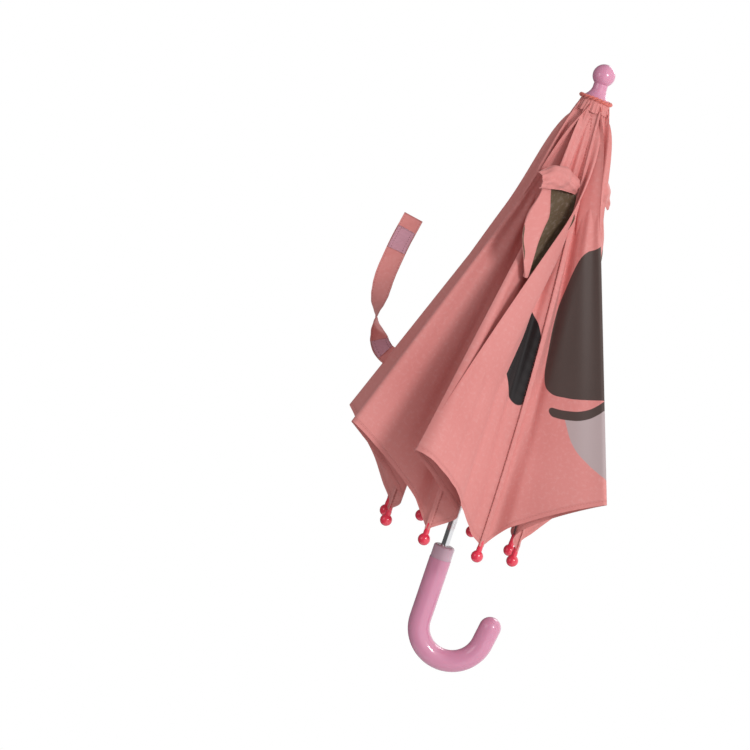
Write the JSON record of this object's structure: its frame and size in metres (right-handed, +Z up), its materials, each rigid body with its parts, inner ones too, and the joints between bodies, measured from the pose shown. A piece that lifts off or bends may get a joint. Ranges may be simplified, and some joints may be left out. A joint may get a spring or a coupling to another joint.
{
  "type": "children's stick umbrella",
  "caption": "Small stick umbrella with a J-shaped handle, ball tip, ribs and stretchers on a sliding runner, and a fabric canopy with an animal face and ears.",
  "frame": {"origin": "on the shaft's axis, halfway up the straight part of the grip", "axes": "+Z up the shaft to the ball tip, +X towards the open end of the handle's hook"},
  "size_m": [0.2909, 0.3151, 0.632],
  "materials": {
    "canopy_fabric": "plain-woven polyester, coral pink",
    "ear_lining": "plain-woven polyester, brown",
    "print_ink": "printed on the canopy",
    "touch_tape": "hook and loop tape, pale pink",
    "trim_cord": "twisted cord",
    "handle_plastic": "glossy moulded",
    "collar_plastic": "milky translucent",
    "tip_plastic": "glossy moulded",
    "notch_plastic": "moulded nylon",
    "shaft_steel": "bright plated",
    "frame_steel": "plated wire"
  },
  "bodies": {
    "shaft": {"shaft_tube": "shaft_steel", "handle": "handle_plastic", "handle_collar": "collar_plastic", "finial": "handle_plastic", "crown_cap": "canopy_fabric", "crown_cord": "trim_cord", "top_notch": "notch_plastic", "top_notch_wire": "frame_steel", "runner_stop_pin": "frame_steel"},
    "runner": {"runner": "notch_plastic", "runner_wire": "frame_steel"},
    "bottom_catch": {"bottom_catch": "frame_steel"},
    "top_catch": {"top_catch": "frame_steel"},
    "rib_1": {"rib_1": "frame_steel", "rib_tip_1": "tip_plastic", "ear_right": "canopy_fabric"},
    "stretcher_1": {"stretcher_1": "frame_steel"},
    "rib_2": {"rib_2": "frame_steel", "rib_tip_2": "tip_plastic", "ear_left": "canopy_fabric"},
    "stretcher_2": {"stretcher_2": "frame_steel"},
    "rib_3": {"rib_3": "frame_steel", "rib_tip_3": "tip_plastic"},
    "stretcher_3": {"stretcher_3": "frame_steel"},
    "rib_4": {"rib_4": "frame_steel", "rib_tip_4": "tip_plastic"},
    "stretcher_4": {"stretcher_4": "frame_steel"},
    "rib_5": {"rib_5": "frame_steel", "rib_tip_5": "tip_plastic"},
    "stretcher_5": {"stretcher_5": "frame_steel"},
    "rib_6": {"rib_6": "frame_steel", "rib_tip_6": "tip_plastic"},
    "stretcher_6": {"stretcher_6": "frame_steel"},
    "rib_7": {"rib_7": "frame_steel", "rib_tip_7": "tip_plastic"},
    "stretcher_7": {"stretcher_7": "frame_steel"},
    "rib_8": {"rib_8": "frame_steel", "rib_tip_8": "tip_plastic"},
    "stretcher_8": {"stretcher_8": "frame_steel"},
    "gore_1_first": {"gore_1_first_half": "canopy_fabric"},
    "gore_1_second": {"gore_1_second_half": "canopy_fabric"},
    "gore_2_first": {"gore_2_first_half": "canopy_fabric"},
    "gore_2_second": {"gore_2_second_half": "canopy_fabric"},
    "gore_3_first": {"gore_3_first_half": "canopy_fabric"},
    "gore_3_second": {"gore_3_second_half": "canopy_fabric"},
    "gore_4_first": {"gore_4_first_half": "canopy_fabric", "strap": "canopy_fabric", "strap_end_patch": "touch_tape", "strap_foot_patch": "touch_tape"},
    "gore_4_second": {"gore_4_second_half": "canopy_fabric"},
    "gore_5_first": {"gore_5_first_half": "canopy_fabric"},
    "gore_5_second": {"gore_5_second_half": "canopy_fabric"},
    "gore_6_first": {"gore_6_first_half": "canopy_fabric"},
    "gore_6_second": {"gore_6_second_half": "canopy_fabric"},
    "gore_7_first": {"gore_7_first_half": "canopy_fabric"},
    "gore_7_second": {"gore_7_second_half": "canopy_fabric"},
    "gore_8_first": {"gore_8_first_half": "canopy_fabric"},
    "gore_8_second": {"gore_8_second_half": "canopy_fabric"}
  },
  "joints": [
    {"name": "runner_slide", "type": "slide", "parent": "shaft", "child": "runner", "axis": [0, 0, 1], "range_m": [0, 0.14068]},
    {"name": "rib_1_hinge", "type": "hinge", "parent": "shaft", "child": "rib_1", "pos_m": [0.00658, -0.00239, 0.506], "axis": [-0.342, -0.9397, 0], "range_deg": [0, 43.58]},
    {"name": "stretcher_1_hinge", "type": "hinge", "parent": "rib_1", "child": "stretcher_1", "pos_m": [0.04042, -0.01471, 0.34068], "axis": [0.342, 0.9397, 0], "range_deg": [0, 87.16]},
    {"name": "rib_2_hinge", "type": "hinge", "parent": "shaft", "child": "rib_2", "pos_m": [0.00296, -0.00634, 0.506], "axis": [-0.9063, -0.4226, 0], "range_deg": [0, 43.58]},
    {"name": "stretcher_2_hinge", "type": "hinge", "parent": "rib_2", "child": "stretcher_2", "pos_m": [0.01818, -0.03899, 0.34068], "axis": [0.9063, 0.4226, 0], "range_deg": [0, 87.16]},
    {"name": "rib_3_hinge", "type": "hinge", "parent": "shaft", "child": "rib_3", "pos_m": [-0.00239, -0.00658, 0.506], "axis": [-0.9397, 0.342, 0], "range_deg": [0, 43.58]},
    {"name": "stretcher_3_hinge", "type": "hinge", "parent": "rib_3", "child": "stretcher_3", "pos_m": [-0.01471, -0.04042, 0.34068], "axis": [0.9397, -0.342, 0], "range_deg": [0, 87.16]},
    {"name": "rib_4_hinge", "type": "hinge", "parent": "shaft", "child": "rib_4", "pos_m": [-0.00634, -0.00296, 0.506], "axis": [-0.4226, 0.9063, 0], "range_deg": [0, 43.58]},
    {"name": "stretcher_4_hinge", "type": "hinge", "parent": "rib_4", "child": "stretcher_4", "pos_m": [-0.03899, -0.01818, 0.34068], "axis": [0.4226, -0.9063, 0], "range_deg": [0, 87.16]},
    {"name": "rib_5_hinge", "type": "hinge", "parent": "shaft", "child": "rib_5", "pos_m": [-0.00658, 0.00239, 0.506], "axis": [0.342, 0.9397, 0], "range_deg": [0, 43.58]},
    {"name": "stretcher_5_hinge", "type": "hinge", "parent": "rib_5", "child": "stretcher_5", "pos_m": [-0.04042, 0.01471, 0.34068], "axis": [-0.342, -0.9397, 0], "range_deg": [0, 87.16]},
    {"name": "rib_6_hinge", "type": "hinge", "parent": "shaft", "child": "rib_6", "pos_m": [-0.00296, 0.00634, 0.506], "axis": [0.9063, 0.4226, 0], "range_deg": [0, 43.58]},
    {"name": "stretcher_6_hinge", "type": "hinge", "parent": "rib_6", "child": "stretcher_6", "pos_m": [-0.01818, 0.03899, 0.34068], "axis": [-0.9063, -0.4226, 0], "range_deg": [0, 87.16]},
    {"name": "rib_7_hinge", "type": "hinge", "parent": "shaft", "child": "rib_7", "pos_m": [0.00239, 0.00658, 0.506], "axis": [0.9397, -0.342, 0], "range_deg": [0, 43.58]},
    {"name": "stretcher_7_hinge", "type": "hinge", "parent": "rib_7", "child": "stretcher_7", "pos_m": [0.01471, 0.04042, 0.34068], "axis": [-0.9397, 0.342, 0], "range_deg": [0, 87.16]},
    {"name": "rib_8_hinge", "type": "hinge", "parent": "shaft", "child": "rib_8", "pos_m": [0.00634, 0.00296, 0.506], "axis": [0.4226, -0.9063, 0], "range_deg": [0, 43.58]},
    {"name": "stretcher_8_hinge", "type": "hinge", "parent": "rib_8", "child": "stretcher_8", "pos_m": [0.03899, 0.01818, 0.34068], "axis": [-0.4226, 0.9063, 0], "range_deg": [0, 87.16]},
    {"name": "gore_1_first_fold", "type": "hinge", "parent": "rib_1", "child": "gore_1_first", "pos_m": [0.00548, -0.00607, 0.5102], "axis": [0.0933, -0.048, -0.9945], "range_deg": [0, 88.59]},
    {"name": "gore_1_second_fold", "type": "hinge", "parent": "rib_2", "child": "gore_1_second", "pos_m": [0.00802, -0.00417, 0.51017], "axis": [-0.0431, 0.109, 0.9931], "range_deg": [0, 51.8]},
    {"name": "gore_2_first_fold", "type": "hinge", "parent": "rib_2", "child": "gore_2_first", "pos_m": [-0.00342, -0.00922, 0.51016], "axis": [0.0893, -0.1503, -0.9846], "range_deg": [0, 36.46]},
    {"name": "gore_2_second_fold", "type": "hinge", "parent": "rib_3", "child": "gore_2_second", "pos_m": [0.00051, -0.00795, 0.51022], "axis": [0.0277, 0.115, 0.993], "range_deg": [0, 109.55]},
    {"name": "gore_3_first_fold", "type": "hinge", "parent": "rib_3", "child": "gore_3_first", "pos_m": [-0.00759, -0.00485, 0.51018], "axis": [-0.0347, -0.1199, -0.9922], "range_deg": [0, 52.23]},
    {"name": "gore_3_second_fold", "type": "hinge", "parent": "rib_4", "child": "gore_3_second", "pos_m": [-0.00495, -0.00651, 0.5102], "axis": [0.0937, 0.0556, 0.994], "range_deg": [0, 88.76]},
    {"name": "gore_4_first_fold", "type": "hinge", "parent": "rib_4", "child": "gore_4_first", "pos_m": [-0.00956, 0.00367, 0.51012], "axis": [-0.109, -0.0678, -0.9917], "range_deg": [0, 34.25]},
    {"name": "gore_4_second_fold", "type": "hinge", "parent": "rib_5", "child": "gore_4_second", "pos_m": [-0.00791, -0.00061, 0.5102], "axis": [0.1058, -0.0112, 0.9943], "range_deg": [0, 109.86]},
    {"name": "gore_5_first_fold", "type": "hinge", "parent": "rib_5", "child": "gore_5_first", "pos_m": [-0.00489, 0.00746, 0.51019], "axis": [-0.1288, 0.0365, -0.991], "range_deg": [0, 54.17]},
    {"name": "gore_5_second_fold", "type": "hinge", "parent": "rib_6", "child": "gore_5_second", "pos_m": [-0.00654, 0.00495, 0.51021], "axis": [0.0545, -0.1013, 0.9934], "range_deg": [0, 87.43]},
    {"name": "gore_6_first_fold", "type": "hinge", "parent": "rib_6", "child": "gore_6_first", "pos_m": [0.00126, 0.00852, 0.5102], "axis": [-0.0631, 0.1174, -0.9911], "range_deg": [0, 64.29]},
    {"name": "gore_6_second_fold", "type": "hinge", "parent": "rib_7", "child": "gore_6_second", "pos_m": [-0.00146, 0.00823, 0.51021], "axis": [-0.0441, -0.1166, 0.9922], "range_deg": [0, 77.19]},
    {"name": "gore_7_first_fold", "type": "hinge", "parent": "rib_7", "child": "gore_7_first", "pos_m": [0.00645, 0.00535, 0.51021], "axis": [0.0407, 0.1212, -0.9918], "range_deg": [0, 75.84]},
    {"name": "gore_7_second_fold", "type": "hinge", "parent": "rib_8", "child": "gore_7_second", "pos_m": [0.00455, 0.00727, 0.51021], "axis": [-0.1254, -0.0498, 0.9909], "range_deg": [0, 65.84]},
    {"name": "gore_8_first_fold", "type": "hinge", "parent": "rib_8", "child": "gore_8_first", "pos_m": [0.00794, 0.00009, 0.5102], "axis": [0.1052, 0.0223, -0.9942], "range_deg": [0, 109.82]},
    {"name": "gore_8_second_fold", "type": "hinge", "parent": "rib_1", "child": "gore_8_second", "pos_m": [0.00916, 0.00446, 0.51013], "axis": [-0.1196, 0.06, 0.991], "range_deg": [0, 34.51]},
    {"name": "bottom_catch_press", "type": "slide", "parent": "shaft", "child": "bottom_catch", "axis": [-0.0436, 0.999, 0], "range_m": [0, 0.0018], "stiffness_N_per_m": 300},
    {"name": "top_catch_press", "type": "slide", "parent": "shaft", "child": "top_catch", "axis": [-0.0436, 0.999, 0], "range_m": [0, 0.0018], "stiffness_N_per_m": 300}
  ],
  "couplings": [
    {"joint": "rib_1_hinge", "follows": "runner_slide", "rad_per_m": 5.4042},
    {"joint": "stretcher_1_hinge", "follows": "runner_slide", "rad_per_m": 10.808},
    {"joint": "rib_2_hinge", "follows": "runner_slide", "rad_per_m": 5.4042},
    {"joint": "stretcher_2_hinge", "follows": "runner_slide", "rad_per_m": 10.808},
    {"joint": "rib_3_hinge", "follows": "runner_slide", "rad_per_m": 5.4042},
    {"joint": "stretcher_3_hinge", "follows": "runner_slide", "rad_per_m": 10.808},
    {"joint": "rib_4_hinge", "follows": "runner_slide", "rad_per_m": 5.4042},
    {"joint": "stretcher_4_hinge", "follows": "runner_slide", "rad_per_m": 10.808},
    {"joint": "rib_5_hinge", "follows": "runner_slide", "rad_per_m": 5.4042},
    {"joint": "stretcher_5_hinge", "follows": "runner_slide", "rad_per_m": 10.808},
    {"joint": "rib_6_hinge", "follows": "runner_slide", "rad_per_m": 5.4042},
    {"joint": "stretcher_6_hinge", "follows": "runner_slide", "rad_per_m": 10.808},
    {"joint": "rib_7_hinge", "follows": "runner_slide", "rad_per_m": 5.4042},
    {"joint": "stretcher_7_hinge", "follows": "runner_slide", "rad_per_m": 10.808},
    {"joint": "rib_8_hinge", "follows": "runner_slide", "rad_per_m": 5.4042},
    {"joint": "stretcher_8_hinge", "follows": "runner_slide", "rad_per_m": 10.808},
    {"joint": "gore_1_first_fold", "follows": "runner_slide", "rad_per_m": 10.986},
    {"joint": "gore_1_second_fold", "follows": "runner_slide", "rad_per_m": 6.4228},
    {"joint": "gore_2_first_fold", "follows": "runner_slide", "rad_per_m": 4.5216},
    {"joint": "gore_2_second_fold", "follows": "runner_slide", "rad_per_m": 13.584},
    {"joint": "gore_3_first_fold", "follows": "runner_slide", "rad_per_m": 6.4766},
    {"joint": "gore_3_second_fold", "follows": "runner_slide", "rad_per_m": 11.006},
    {"joint": "gore_4_first_fold", "follows": "runner_slide", "rad_per_m": 4.2471},
    {"joint": "gore_4_second_fold", "follows": "runner_slide", "rad_per_m": 13.623},
    {"joint": "gore_5_first_fold", "follows": "runner_slide", "rad_per_m": 6.7167},
    {"joint": "gore_5_second_fold", "follows": "runner_slide", "rad_per_m": 10.842},
    {"joint": "gore_6_first_fold", "follows": "runner_slide", "rad_per_m": 7.9721},
    {"joint": "gore_6_second_fold", "follows": "runner_slide", "rad_per_m": 9.5717},
    {"joint": "gore_7_first_fold", "follows": "runner_slide", "rad_per_m": 9.4047},
    {"joint": "gore_7_second_fold", "follows": "runner_slide", "rad_per_m": 8.1644},
    {"joint": "gore_8_first_fold", "follows": "runner_slide", "rad_per_m": 13.618},
    {"joint": "gore_8_second_fold", "follows": "runner_slide", "rad_per_m": 4.2796}
  ]
}
